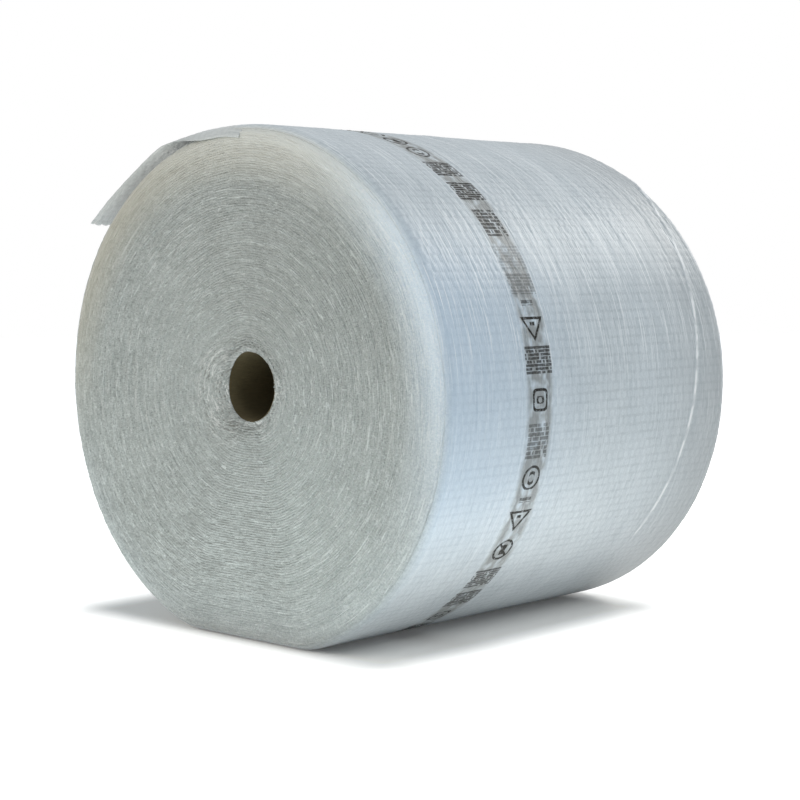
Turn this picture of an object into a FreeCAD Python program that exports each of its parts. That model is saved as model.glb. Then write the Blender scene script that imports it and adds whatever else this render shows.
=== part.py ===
import FreeCAD, Part
import math
import os
import Sketcher

# A roll of bubble wrap lying on its side on a small flat spot, in millimetres.
# The roll's axis runs along Y, +Z is up, and the origin is on the floor under the
# middle of the flat spot. The core lies a little to one side of the roll's middle.
# Both bodies are drawn about the core's axis and then moved to core_shift and
# CORE_HEIGHT, so inside a sketch the core's axis is the zero point.

SIZES = [
    ("roll_width", 500, "length of the roll along its axis"),
    ("side_radius", 283, "radius of the round sides"),
    ("side_offset", 22, "how far the centre of each side's arc stands out from the middle"),
    ("flat_width", 160, "width of the flat spot that the roll lies on"),
    ("corner_radius", 100, "radius where the flat spot turns up into the sides"),
    ("rim_rounding", 18, "rounding of the rim at both ends"),
    ("core_rise", 8.4, "height of the core's axis above the centres of the side arcs"),
    ("core_shift", 18, "how far the core lies to the side of the flat spot's middle"),
    ("core_bore", 38, "inner radius of the cardboard core"),
    ("core_wall", 4, "wall of the cardboard core"),
    ("core_recess", 4, "how far the core's ends lie inside the roll's ends"),
    ("mouth_rounding", 9, "rounding of the film where it turns in to the core"),
    ("mouth_land", 5, "flat film between the mouth and the innermost turn that shows"),
    ("rim_land", 2, "flat film between the outermost turn that shows and the rim below"),
    ("turn_shift", 6, "how far the middle of the turns lies from the core's axis"),
    ("turns_shown", 11, "number of turns that show on each end"),
    ("turn_depth", 2.6, "depth of the valley between two turns"),
    ("turn_drop", 0.8, "how far the crests of the turns lie below the end face"),
    ("film_thickness", 4, "thickness of the bubble film at its loose end"),
    ("leave_angle", 104, "angle round the roll at which the loose end comes away"),
    ("leave_slope", 12, "downward slope of the loose end where it comes away"),
    ("tail_radius", 400, "radius of the loose end's curve"),
    ("tail_sweep", 30, "angle of the loose end's curve outside the roll"),
    ("root_sweep", 2, "angle of the same curve that is sunk in the roll"),
]

# Lengths that follow from the sizes above, written as the document's expressions.
TOP_RADIUS = "(Sizes.side_radius + Sizes.side_offset * sqrt(2))"
CORNER_REACH = "(Sizes.flat_width / 2 - Sizes.side_offset)"
CORNER_RISE = f"sqrt((Sizes.side_radius - Sizes.corner_radius)^2 - {CORNER_REACH}^2)"
CORE_HEIGHT = f"(Sizes.corner_radius + {CORNER_RISE} + Sizes.core_rise)"
SEAT_RADIUS = "(Sizes.core_bore + Sizes.core_wall)"
FIRST_TURN = f"({SEAT_RADIUS} + Sizes.mouth_rounding + Sizes.turn_shift + Sizes.mouth_land)"
TURN_PITCH = (f"(({CORE_HEIGHT} - Sizes.rim_rounding - Sizes.rim_land - {FIRST_TURN})"
              " / (Sizes.turns_shown + 1))")
END_FACE = "Sizes.roll_width / 2"


def fill_sheet(doc):
    """Write the driving dimensions to a spreadsheet, one alias for each."""
    sheet = doc.addObject("Spreadsheet::Sheet", "Sizes")
    for row, (alias, value, meaning) in enumerate(SIZES, start=1):
        sheet.set(f"A{row}", meaning)
        sheet.set(f"B{row}", str(value))
        sheet.setAlias(f"B{row}", alias)
    doc.recompute()


def number(item, expression):
    """What an expression comes to in the item's document."""
    return float(item.Document.getObject("Sizes").evalExpression(expression))


def new_body(doc, name):
    """Start a body whose own origin lies on the core's axis."""
    body = doc.addObject("PartDesign::Body", name)
    body.Label = name
    body.setExpression("Placement.Base.x", "Sizes.core_shift")
    body.setExpression("Placement.Base.z", CORE_HEIGHT)
    return body


def origin_plane(body, role):
    """Find one of the body's own origin planes by its role."""
    return next(item for item in body.Origin.OriginFeatures if item.Role == role)


def new_sketch(body, name, role):
    """Attach an empty sketch to one of the body's origin planes."""
    sketch = body.newObject("Sketcher::SketchObject", name)
    sketch.AttachmentSupport = [(origin_plane(body, role), "")]
    sketch.MapMode = "FlatFace"
    return sketch


def point_at(sketch, across, upward):
    """A point of the sketch from two expressions."""
    return FreeCAD.Vector(number(sketch, across), number(sketch, upward), 0)


def bind(sketch, expression, *constraint):
    """Add a dimension and tie it to an expression."""
    value = number(sketch, expression)
    if constraint[0] == "Angle":
        value = math.radians(value)
    index = sketch.addConstraint(Sketcher.Constraint(*constraint, value))
    sketch.setExpression(f"Constraints[{index}]", expression)


def place_point(sketch, geometry, end, across, upward):
    """Fix a point of the sketch by its two distances from the sketch's origin."""
    bind(sketch, across, "DistanceX", -1, 1, geometry, end)
    bind(sketch, upward, "DistanceY", -1, 1, geometry, end)


def add_arc(sketch, centre, radius, start, end):
    """Add an arc that runs anticlockwise between two angles in degrees."""
    circle = Part.Circle(centre, FreeCAD.Vector(0, 0, 1), radius)
    return sketch.addGeometry(Part.ArcOfCircle(circle, math.radians(start), math.radians(end)))


def add_ring(sketch, radius):
    """Add a circle about the core's axis."""
    circle = Part.Circle(FreeCAD.Vector(0, 0, 0), FreeCAD.Vector(0, 0, 1), number(sketch, radius))
    ring = sketch.addGeometry(circle)
    sketch.addConstraint(Sketcher.Constraint("Coincident", ring, 3, -1, 1))
    bind(sketch, radius, "Radius", ring)


def pad_both_ways(body, sketch, name, length):
    """Pad a sketch by the same amount to both sides of its plane."""
    pad = body.newObject("PartDesign::Pad", name)
    pad.Profile = sketch
    pad.SideType = "Symmetric"
    pad.setExpression("Length", length)
    body.Document.recompute()
    return pad


def outline_sketch(body):
    """The roll seen from its end: flat spot, corners, round sides, flatter top."""
    sketch = new_sketch(body, "outline", "XZ_Plane")
    floor = f"-{CORE_HEIGHT}"
    side_up = "-Sizes.core_rise"
    side_across = [f"{sign} * Sizes.side_offset - Sizes.core_shift" for sign in (1, -1)]
    side_centres = [point_at(sketch, across, side_up) for across in side_across]
    side_radius = number(sketch, "Sizes.side_radius")
    corner_radius = number(sketch, "Sizes.corner_radius")
    flat_ends = [point_at(sketch, f"{sign} * Sizes.flat_width / 2 - Sizes.core_shift", floor)
                 for sign in (-1, 1)]
    corner_up = FreeCAD.Vector(0, corner_radius, 0)
    turn_up = number(sketch, f"atan({CORNER_RISE} / {CORNER_REACH})")
    top_centre = point_at(sketch, "-Sizes.core_shift", "-Sizes.core_rise - Sizes.side_offset")

    flat = sketch.addGeometry(Part.LineSegment(*flat_ends))
    right_corner = add_arc(sketch, flat_ends[1] + corner_up, corner_radius, -90, -turn_up)
    right_side = add_arc(sketch, side_centres[0], side_radius, -turn_up, 45)
    top = add_arc(sketch, top_centre, number(sketch, TOP_RADIUS), 45, 135)
    left_side = add_arc(sketch, side_centres[1], side_radius, 135, 180 + turn_up)
    left_corner = add_arc(sketch, flat_ends[0] + corner_up, corner_radius, 180 + turn_up, 270)

    loop = [flat, right_corner, right_side, top, left_side, left_corner]
    for this, following in zip(loop, loop[1:] + loop[:1]):
        sketch.addConstraint(Sketcher.Constraint("Tangent", this, 2, following, 1))
    sketch.addConstraint(Sketcher.Constraint("Horizontal", flat))
    bind(sketch, floor, "DistanceY", -1, 1, flat, 1)
    bind(sketch, TOP_RADIUS, "Radius", top)
    for side, across in zip((right_side, left_side), side_across):
        bind(sketch, "Sizes.side_radius", "Radius", side)
        place_point(sketch, side, 3, across, side_up)
    for corner in (right_corner, left_corner):
        bind(sketch, "Sizes.corner_radius", "Radius", corner)
    return sketch


def edges_at(shape, distance):
    """Names of the edges that lie at this distance from the roll's middle, at both ends."""
    names = []
    for index, edge in enumerate(shape.Edges, start=1):
        middle = edge.valueAt((edge.FirstParameter + edge.LastParameter) / 2)
        ends = [vertex.Point for vertex in edge.Vertexes]
        if all(abs(abs(point.y) - distance) < 1e-6 for point in [middle] + ends):
            names.append(f"Edge{index}")
    return names


def bevel(body, base, name, edges, size, second_size, flip):
    """Bevel the named edges of the step before, by one distance on each of their faces."""
    chamfer = body.newObject("PartDesign::Chamfer", name)
    chamfer.Base = (base, edges)
    chamfer.ChamferType = "Two distances"
    chamfer.setExpression("Size", size)
    chamfer.setExpression("Size2", second_size)
    chamfer.FlipDirection = flip
    body.Document.recompute()
    return chamfer


def round_rims(body, roll):
    """Round both rims with two bevels each, whose edges lie on a quarter circle."""
    end_bevels = bevel(body, roll, "rim_end_bevels",
                       edges_at(roll.Shape, number(body, END_FACE)),
                       "Sizes.rim_rounding", "Sizes.rim_rounding * tan(22.5)", True)
    ridge = number(body, f"{END_FACE} - Sizes.rim_rounding * tan(22.5)")
    bevel(body, end_bevels, "rim_side_bevels", edges_at(end_bevels.Shape, ridge),
          "Sizes.rim_rounding * (1 - tan(22.5))",
          "Sizes.rim_rounding * (1 - cos(45)) / cos(22.5)", False)


def cut_core_seat(body):
    """Bore the film for the core and bevel it where it turns in to the bore."""
    seat = new_sketch(body, "core_seat", "XZ_Plane")
    add_ring(seat, SEAT_RADIUS)
    bore = body.newObject("PartDesign::Pocket", "bore")
    bore.Profile = seat
    bore.SideType = "Symmetric"
    bore.setExpression("Length", "Sizes.roll_width * 2")
    body.Document.recompute()

    around = 2 * math.pi * number(body, SEAT_RADIUS)
    mouths = [name for name in edges_at(bore.Shape, number(body, END_FACE))
              if abs(bore.Shape.getElement(name).Length - around) < 1e-3]
    bevel(body, bore, "mouth_bevels", mouths,
          "Sizes.mouth_rounding", "Sizes.mouth_rounding", False)


def turns_sketch(body):
    """Section of the wound turns on the near end, with an axis for each half.

    Half circles about the two axes, which lie half a step apart, join into one spiral.
    """
    sketch = new_sketch(body, "turns", "YZ_Plane")
    sketch.setExpression("AttachmentOffset.Base.z", "-Sizes.turn_shift")
    outside = f"-{END_FACE} - 1"
    crest = f"-{END_FACE} + Sizes.turn_drop"
    valley = f"-{END_FACE} + Sizes.turn_depth"
    last = 2 * int(number(body, "Sizes.turns_shown"))
    corners = [(outside, 0), (outside, last)]
    corners += [(valley if step % 2 else crest, step) for step in range(last, -1, -1)]
    places = [(across, f"{FIRST_TURN} + {step / 2} * {TURN_PITCH}") for across, step in corners]
    points = [point_at(sketch, *place) for place in places]

    for here, ahead, place in zip(points, points[1:] + points[:1], places):
        line = sketch.addGeometry(Part.LineSegment(here, ahead))
        place_point(sketch, line, 1, *place)
    for line in range(len(points)):
        ahead = (line + 1) % len(points)
        sketch.addConstraint(Sketcher.Constraint("Coincident", line, 2, ahead, 1))

    for height in ("0", f"-{TURN_PITCH} / 2"):
        places = [(f"-{END_FACE}", height), ("0", height)]
        ends = [point_at(sketch, *place) for place in places]
        axis = sketch.addGeometry(Part.LineSegment(*ends), True)
        for end, place in enumerate(places, start=1):
            place_point(sketch, axis, end, *place)
    return sketch


def cut_turns(body):
    """Cut the spiral of turns into both ends, as half circles on two axes."""
    sketch = turns_sketch(body)
    halves = []
    for name, axis, reverse in (("right_half_turns", "Axis0", False),
                                ("left_half_turns", "Axis1", True)):
        groove = body.newObject("PartDesign::Groove", name)
        groove.Profile = sketch
        groove.ReferenceAxis = (sketch, [axis])
        groove.Angle = 180
        groove.Reversed = reverse
        halves.append(groove)
    body.Document.recompute()
    far_end = body.newObject("PartDesign::Mirrored", "far_end_turns")
    far_end.Originals = halves
    far_end.MirrorPlane = (origin_plane(body, "XZ_Plane"), [""])
    body.Tip = far_end
    body.Document.recompute()


def tail_sketch(body):
    """The loose end of the film, seen from the near end of the roll."""
    sketch = new_sketch(body, "loose_end", "XZ_Plane")
    centre = (f"{TOP_RADIUS} * cos(Sizes.leave_angle) - Sizes.core_shift"
              " + Sizes.tail_radius * sin(Sizes.leave_slope)",
              f"{TOP_RADIUS} * sin(Sizes.leave_angle) - Sizes.side_offset - Sizes.core_rise"
              " - Sizes.tail_radius * cos(Sizes.leave_slope)")
    radii = ("Sizes.tail_radius", "Sizes.tail_radius - Sizes.film_thickness")
    angles = ("(90 + Sizes.leave_slope - Sizes.root_sweep) * 1 deg",
              "(90 + Sizes.leave_slope + Sizes.tail_sweep) * 1 deg")
    middle = point_at(sketch, *centre)
    turns = [number(sketch, angle) for angle in angles]

    outer, inner = [add_arc(sketch, middle, number(sketch, radius), *turns) for radius in radii]
    sketch.addConstraint(Sketcher.Constraint("Coincident", inner, 3, outer, 3))
    place_point(sketch, outer, 3, *centre)
    for curve, radius in zip((outer, inner), radii):
        bind(sketch, radius, "Radius", curve)
    for arc_end, (turn, angle) in enumerate(zip(turns, angles), start=1):
        ray = FreeCAD.Vector(math.cos(math.radians(turn)), math.sin(math.radians(turn)), 0)
        ends = [middle + ray * number(sketch, radius) for radius in reversed(radii)]
        line = sketch.addGeometry(Part.LineSegment(*ends))
        sketch.addConstraint(Sketcher.Constraint("Coincident", line, 1, inner, arc_end))
        sketch.addConstraint(Sketcher.Constraint("Coincident", line, 2, outer, arc_end))
        bind(sketch, angle, "Angle", line)
    return sketch


def build_bubble_wrap(doc):
    """All the turns of film and the loose end, as one body."""
    body = new_body(doc, "bubble_wrap")
    roll = pad_both_ways(body, outline_sketch(body), "roll", "Sizes.roll_width")
    round_rims(body, roll)
    cut_core_seat(body)
    cut_turns(body)
    pad_both_ways(body, tail_sketch(body), "tail", "Sizes.roll_width")
    return body


def build_core_tube(doc):
    """The cardboard core, a plain tube that the film is wound on."""
    body = new_body(doc, "core_tube")
    section = new_sketch(body, "section", "XZ_Plane")
    add_ring(section, "Sizes.core_bore")
    add_ring(section, SEAT_RADIUS)
    pad_both_ways(body, section, "tube", "Sizes.roll_width - 2 * Sizes.core_recess")
    return body


def check(doc, parts):
    """Stop if any object failed or any part is not one valid solid."""
    for item in doc.Objects:
        if "Invalid" in item.State or "Error" in item.State:
            raise RuntimeError(f"{item.Label}: {item.State}")
    for part in parts:
        if part.Shape.isNull() or not part.Shape.isValid() or len(part.Shape.Solids) != 1:
            raise RuntimeError(f"{part.Label}: not one valid solid")


def main():
    doc = FreeCAD.newDocument("bubble_wrap_roll")
    fill_sheet(doc)
    parts = [build_core_tube(doc), build_bubble_wrap(doc)]
    doc.recompute()
    check(doc, parts)
    os.makedirs("parts", exist_ok=True)
    for part in parts:
        part.Shape.exportStep(f"parts/{part.Label}.step")
        box = part.Shape.optimalBoundingBox()
        corners = (box.XMin, box.XMax, box.YMin, box.YMax, box.ZMin, box.ZMax)
        print(part.Label, round(part.Shape.Volume), [round(value, 2) for value in corners])


main()
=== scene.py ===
import math

import bpy
import numpy as np
from mathutils import Matrix


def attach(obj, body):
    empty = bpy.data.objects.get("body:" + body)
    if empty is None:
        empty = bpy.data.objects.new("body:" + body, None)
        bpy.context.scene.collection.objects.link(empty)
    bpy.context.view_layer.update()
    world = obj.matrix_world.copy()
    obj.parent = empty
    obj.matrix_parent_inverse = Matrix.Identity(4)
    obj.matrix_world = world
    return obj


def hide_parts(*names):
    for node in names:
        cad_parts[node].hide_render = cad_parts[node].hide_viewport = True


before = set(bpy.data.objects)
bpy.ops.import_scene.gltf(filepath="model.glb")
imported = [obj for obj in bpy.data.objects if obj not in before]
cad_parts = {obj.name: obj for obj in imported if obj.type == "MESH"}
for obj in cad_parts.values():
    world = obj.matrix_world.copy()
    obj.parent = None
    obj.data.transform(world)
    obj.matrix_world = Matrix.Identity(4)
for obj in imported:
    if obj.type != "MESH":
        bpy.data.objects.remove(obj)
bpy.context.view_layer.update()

# Sizes in millimetres, the same as in the part's source. Meshes are made in
# millimetres and scaled by MM when they are stored.
MM = 0.001
HALF_WIDTH = 250.0
SIDE_RADIUS = 283.0
SIDE_OFFSET = 22.0
FLAT_HALF = 80.0
CORNER_RADIUS = 100.0
RIM = 18.0
CORE_X, CORE_Z = 18.0, 281.966
CORE_BORE, SEAT_RADIUS = 38.0, 42.0
CORE_RECESS = 4.0
TOP_RADIUS = SIDE_RADIUS + SIDE_OFFSET * math.sqrt(2)
SIDE_RISE = math.sqrt((SIDE_RADIUS - CORNER_RADIUS) ** 2 - (FLAT_HALF - SIDE_OFFSET) ** 2)
SIDE_HEIGHT = CORNER_RADIUS + SIDE_RISE

# The film: bubbles in staggered rows, each with a flat top and a slope round it, and turns
# that lie 2.8 mm apart. The outer turn leaves the roll at an angle, and the next one comes
# up from one layer lower over a few degrees.
BUBBLE_ROWS = 192
BUBBLE_PITCH = 10.47
BUBBLE_TOP, BUBBLE_SLOPE = 2.4, 2.8
TURN = 2.8
LEAVE_ANGLE = 93.0
LAYER, LAYER_EDGE = 1.4, 9.0


def smooth(t):
    """Smooth step from 0 to 1."""
    t = np.clip(t, 0, 1)
    return t * t * (3 - 2 * t)


def noise(u, v, cells, seed):
    """Smooth noise from -1 to 1 over unit cells. It repeats after that many cells of u."""
    u, v = np.broadcast_arrays(u, v)
    v = v - np.floor(v.min())
    table = np.random.default_rng(seed).uniform(-1, 1, (cells, int(v.max()) + 2))
    low_u, low_v = np.floor(u).astype(int), np.floor(v).astype(int)
    part_u, part_v = smooth(u - low_u), smooth(v - low_v)
    low_u, high_u = low_u % cells, (low_u + 1) % cells
    low = table[low_u, low_v] * (1 - part_u) + table[high_u, low_v] * part_u
    high = table[low_u, low_v + 1] * (1 - part_u) + table[high_u, low_v + 1] * part_u
    return low * (1 - part_v) + high * part_v


def outline_arcs():
    """The outline's arcs, anticlockwise from the flat: centre x, centre z, radius, angles."""
    turn_up = math.degrees(math.atan2(SIDE_RISE, FLAT_HALF - SIDE_OFFSET))
    return [
        (FLAT_HALF, CORNER_RADIUS, CORNER_RADIUS, -90, -turn_up),
        (SIDE_OFFSET, SIDE_HEIGHT, SIDE_RADIUS, -turn_up, 45),
        (0, SIDE_HEIGHT - SIDE_OFFSET, TOP_RADIUS, 45, 135),
        (-SIDE_OFFSET, SIDE_HEIGHT, SIDE_RADIUS, 135, 180 + turn_up),
        (-FLAT_HALF, CORNER_RADIUS, CORNER_RADIUS, 180 + turn_up, 270),
    ]


ROUND = 2 * FLAT_HALF + sum(arc[2] * math.radians(arc[4] - arc[3]) for arc in outline_arcs())
ROW_PITCH = ROUND / BUBBLE_ROWS


def outline(around):
    """Place and outward normal, both as x and z, at distances round the roll."""
    around = np.asarray(around, float)
    place, normal = np.zeros(around.shape + (2,)), np.zeros(around.shape + (2,))
    flat = (around <= FLAT_HALF) | (around >= ROUND - FLAT_HALF)
    place[flat, 0] = np.where(around[flat] <= FLAT_HALF, around[flat], around[flat] - ROUND)
    normal[flat, 1] = -1
    start = FLAT_HALF
    for x, z, radius, first, last in outline_arcs():
        length = radius * math.radians(last - first)
        here = ~flat & (around > start) & (around <= start + length)
        turn = math.radians(first) + (around[here] - start) / radius
        normal[here] = np.stack([np.cos(turn), np.sin(turn)], -1)
        place[here] = [x, z] + radius * normal[here]
        start += length
    return place, normal


def angle_at(around):
    """Angle round the roll in degrees, from -90 to 270, at distances round it."""
    place, _ = outline(around)
    angle = np.degrees(np.arctan2(place[..., 1] - SIDE_HEIGHT, place[..., 0]))
    return np.where(angle < -90, angle + 360, angle)


DENSE = np.linspace(1, ROUND - 1, 4000)
DENSE_ANGLE = angle_at(DENSE)


def around_at(angle):
    """Distance round the roll at an angle."""
    return np.interp((np.asarray(angle, float) + 90) % 360 - 90, DENSE_ANGLE, DENSE)


def sunk(angle):
    """How far the surface lies under the outline: one layer, used up in one turn of the film."""
    past = (angle - LEAVE_ANGLE) % 360
    return LAYER * smooth(past / LAYER_EDGE) * (1 - past / 360)


def bubble_distance(around, along):
    """Distance to the nearest bubble's middle, in millimetres."""
    row = around / ROW_PITCH
    column = along / BUBBLE_PITCH + 0.5 * (np.floor(row) % 2)
    return np.hypot((row % 1 - 0.5) * ROW_PITCH, (column % 1 - 0.5) * BUBBLE_PITCH)


# Long creases in the outer turn: points as (distance from the near end, angle), then
# height and width in millimetres.
CREASES = [
    ([(243, 80), (227, 58), (200, 24), (183, 8)], 0.7, 2.6),
    ([(500, 64), (497, 60), (467, 39), (433, 3), (410, -21), (393, -40)], 1.3, 3.2),
    ([(427, 100), (340, 90), (243, 81)], 0.8, 2.8),
    ([(85, -48), (127, -8)], 0.4, 3.0),
    ([(360, 66), (345, 44), (332, 24)], 0.5, 2.4),
    ([(470, 150), (380, 190), (350, 225)], 0.9, 3.0),
    ([(120, 170), (160, 215)], 0.7, 3.0),
]


def creases(around, along):
    """Height of the creases over the film."""
    height = 0
    for points, size, width in CREASES:
        ways = np.array([around_at(angle) for _, angle in points])
        order = np.argsort(ways)
        centre = np.interp(around, ways[order], np.array([p[0] for p in points], float)[order])
        ends = smooth((around - ways.min()) / 40) * smooth((ways.max() - around) / 40)
        off = along - centre
        fold = np.exp(-((off / width) ** 2)) - 0.5 * np.exp(-(((off - 1.8 * width) / (1.4 * width)) ** 2))
        height = height + size * ends * fold
    return height


# Smooth bumps in the film: height, cells round the roll, length along it, and seed.
RIPPLES = [(0.30, 52, 4.6, 2), (0.34, 26, 9.5, 3), (0.16, 90, 2.9, 12)]
SLACK = [(0.75, 12, 120, 4), (0.3, 30, 45, 5)]
FLUTTER = [(1.2, 20, 70, 31), (0.5, 60, 22, 32)]


def bumps(kinds, turn, along):
    """Height of such bumps, where a turn is 1 once round the roll."""
    return sum(height * noise(turn * cells, along / length, cells, seed)
               for height, cells, length, seed in kinds)


def film_relief(around, along):
    """Height of the outer turn over the outline: bubbles, ripples, slack and creases."""
    turn = around / ROUND
    angle = angle_at(around)
    bubble = 1 - smooth((bubble_distance(around, along) - BUBBLE_TOP) / BUBBLE_SLOPE)
    patch = noise(turn * 40, along / 30, 40, 1)
    wrinkled = 0.8 + 0.5 * np.exp(-(((angle - 36) / 24) ** 2)) * smooth((along - 170) / 120)
    return ((0.26 + 0.2 * patch) * bubble + 0.8 * bumps(RIPPLES, turn, along) * wrinkled
            + bumps(SLACK, turn, along) + creases(around, along) - 0.1)


def add_mesh(name, points, faces, material):
    """A smooth mesh from points in millimetres."""
    mesh = bpy.data.meshes.new(name)
    mesh.from_pydata((points * MM).tolist(), [], faces if isinstance(faces, list) else faces.tolist())
    mesh.polygons.foreach_set("use_smooth", np.ones(len(mesh.polygons), bool))
    mesh.materials.append(material)
    piece = bpy.data.objects.new(name, mesh)
    bpy.context.scene.collection.objects.link(piece)
    return piece


def add_vectors(mesh, name, values):
    """A vector for each point."""
    mesh.attributes.new(name, "FLOAT_VECTOR", "POINT").data.foreach_set("vector", values.ravel())


def add_numbers(mesh, name, values):
    """A number for each point."""
    mesh.attributes.new(name, "FLOAT", "POINT").data.foreach_set("value", values.ravel())


def add_uv(mesh, name, corners):
    """A UV map from a pair of numbers for each corner of each face."""
    mesh.uv_layers.new(name=name).data.foreach_set("uv", corners.astype(np.float32).ravel())


def grid_faces(rows, columns, flip=False):
    """Quads of a grid of points that is numbered row by row."""
    index = np.arange(rows * columns).reshape(rows, columns)
    corners = [index[:-1, :-1], index[1:, :-1], index[1:, 1:], index[:-1, 1:]]
    return np.stack(corners[::-1] if flip else corners, -1).reshape(-1, 4)


def place_film(piece):
    """Say what a piece of the film rides on and stands for."""
    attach(piece, "root")
    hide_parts("bubble_wrap")


# Marks printed on the film, all of them plain shapes, as angle, kind and strength. Round
# the back the band goes on with marks about MARK_PITCH apart. A kind is a number that the
# material knows.
BAND_Y, BAND_HALF = -102.0, 27
MARK_PITCH, MARK_HALF = 41.0, 24
RING, TRIANGLE, SQUARE, BLOCK, LINE, BARRED, TALL = 1, 2, 3, 4, 5, 6, 7
MARKS = [
    (91.5, BLOCK, 0.55), (84.0, BLOCK, 0.9), (77.0, RING, 1.0), (70.0, BARRED, 1.0),
    (62.8, RING, 0.9), (54.8, BLOCK, 0.9), (46.8, BLOCK, 0.95), (37.6, TALL, 0.85),
    (29.0, BLOCK, 0.3), (22.6, BLOCK, 0.4), (18.8, LINE, 0.75), (14.4, TRIANGLE, 1.0),
    (7.6, BLOCK, 0.85), (-0.2, SQUARE, 1.0), (-8.3, TALL, 0.6), (-15.9, RING, 0.95),
    (-20.9, LINE, 0.75), (-24.8, TRIANGLE, 1.0), (-32.7, BARRED, 1.0), (-41.0, BLOCK, 0.8),
    (-48.5, BLOCK, 0.8),
]
REST_OF_BAND = [TRIANGLE, BLOCK, SQUARE, BLOCK, RING, BARRED, BLOCK, TALL]


def all_marks():
    """Middle of each mark as a distance round the roll, with its kind and strength."""
    marks = [(float(around_at(angle)), kind, strength) for angle, kind, strength in MARKS]
    first, last = around_at(MARKS[0][0]), around_at(MARKS[-1][0])
    left = ROUND - first + last
    count = int(left / MARK_PITCH)
    for step in range(1, count):
        way = (first + step * left / count) % ROUND
        marks.append((float(way), REST_OF_BAND[step % len(REST_OF_BAND)], 0.85))
    return sorted(marks)


def ink_corners(around, along):
    """For each corner of each face: its place in its mark, and the mark's kind and strength.

    Both arguments hold the four corners' distances, face by face.
    """
    middle = around.mean(1)
    marks = all_marks()
    ways = np.array([mark[0] for mark in marks])
    gap = np.abs((middle[:, None] - ways[None] + ROUND / 2) % ROUND - ROUND / 2)
    nearest = gap.argmin(1)
    inside = (np.abs(along.mean(1) - BAND_Y) < BAND_HALF) & (gap.min(1) < MARK_HALF)
    kinds = np.array([mark[1:] for mark in marks], float)[nearest] * inside[:, None]
    local = (around - ways[nearest][:, None] + ROUND / 2) % ROUND - ROUND / 2
    place = np.stack([(along - BAND_Y) * 0.01, local * 0.01], -1)
    return place, np.repeat(kinds[:, None, :] * [0.1, 1.0], 4, axis=1)


# The side pieces reach round the rim by RIM_TURN, and then tuck in under the end's turns:
# distance inward of the outline and extra depth.
SIDE_COLUMNS = 5 * BUBBLE_ROWS
SIDE_STEPS = 262
RIM_STEPS = 14
RIM_TURN = math.radians(42)
EDGE_INWARD = RIM * (1 - math.cos(RIM_TURN))
TUCK = [(9.0, 5.5), (6.5, 3.2)]
FLOOR_GAP = 0.3


def rim_depth(inward):
    """How far the rounded rim lies under the end face, at a distance inward of the outline."""
    return RIM - np.sqrt(RIM ** 2 - np.clip(RIM - inward, 0, RIM) ** 2)


def film_width(inward):
    """Distance from the middle of the film's width, over the rim, to a place on the end."""
    bend = np.arccos(np.clip(1 - inward / RIM, 0, 1))
    return HALF_WIDTH - RIM + RIM * bend + np.maximum(inward - RIM, 0)


def side_profile():
    """Rows of the side pieces: inward offset, y, part of the normal outward, part of it
    along y, extra depth, and distance along the film's width."""
    near = [(inward, rim_depth(inward) - HALF_WIDTH, 0, -1, dip, -film_width(inward))
            for inward, dip in TUCK]
    for step in range(RIM_STEPS):
        turn = RIM_TURN * (1 - step / RIM_STEPS)
        near.append((RIM - RIM * math.cos(turn), -(HALF_WIDTH - RIM) - RIM * math.sin(turn),
                     math.cos(turn), -math.sin(turn), 0, -(HALF_WIDTH - RIM) - RIM * turn))
    middle = [(0, y, 1, 0, 0, y) for y in
              np.linspace(-(HALF_WIDTH - RIM), HALF_WIDTH - RIM, SIDE_STEPS + 1)]
    far = [(inward, -y, out, -aside, dip, -width) for inward, y, out, aside, dip, width in near[::-1]]
    return np.array(near + middle + far)


def end_share(width):
    """0 on the side and 1 on the ends, from the distance along the film's width."""
    return smooth((np.abs(width) - (HALF_WIDTH - RIM) - 2) / 18)


def grain(place_x, place_z, width):
    """Coordinates for the film's grain: a circle round the roll, and its width in metres."""
    turn = np.arctan2(place_z - CORE_Z, place_x - CORE_X)
    round_radius = ROUND / 2 / math.pi * MM
    parts = np.broadcast_arrays(np.cos(turn) * round_radius, np.sin(turn) * round_radius, width * MM)
    return np.stack(parts, -1)


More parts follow.
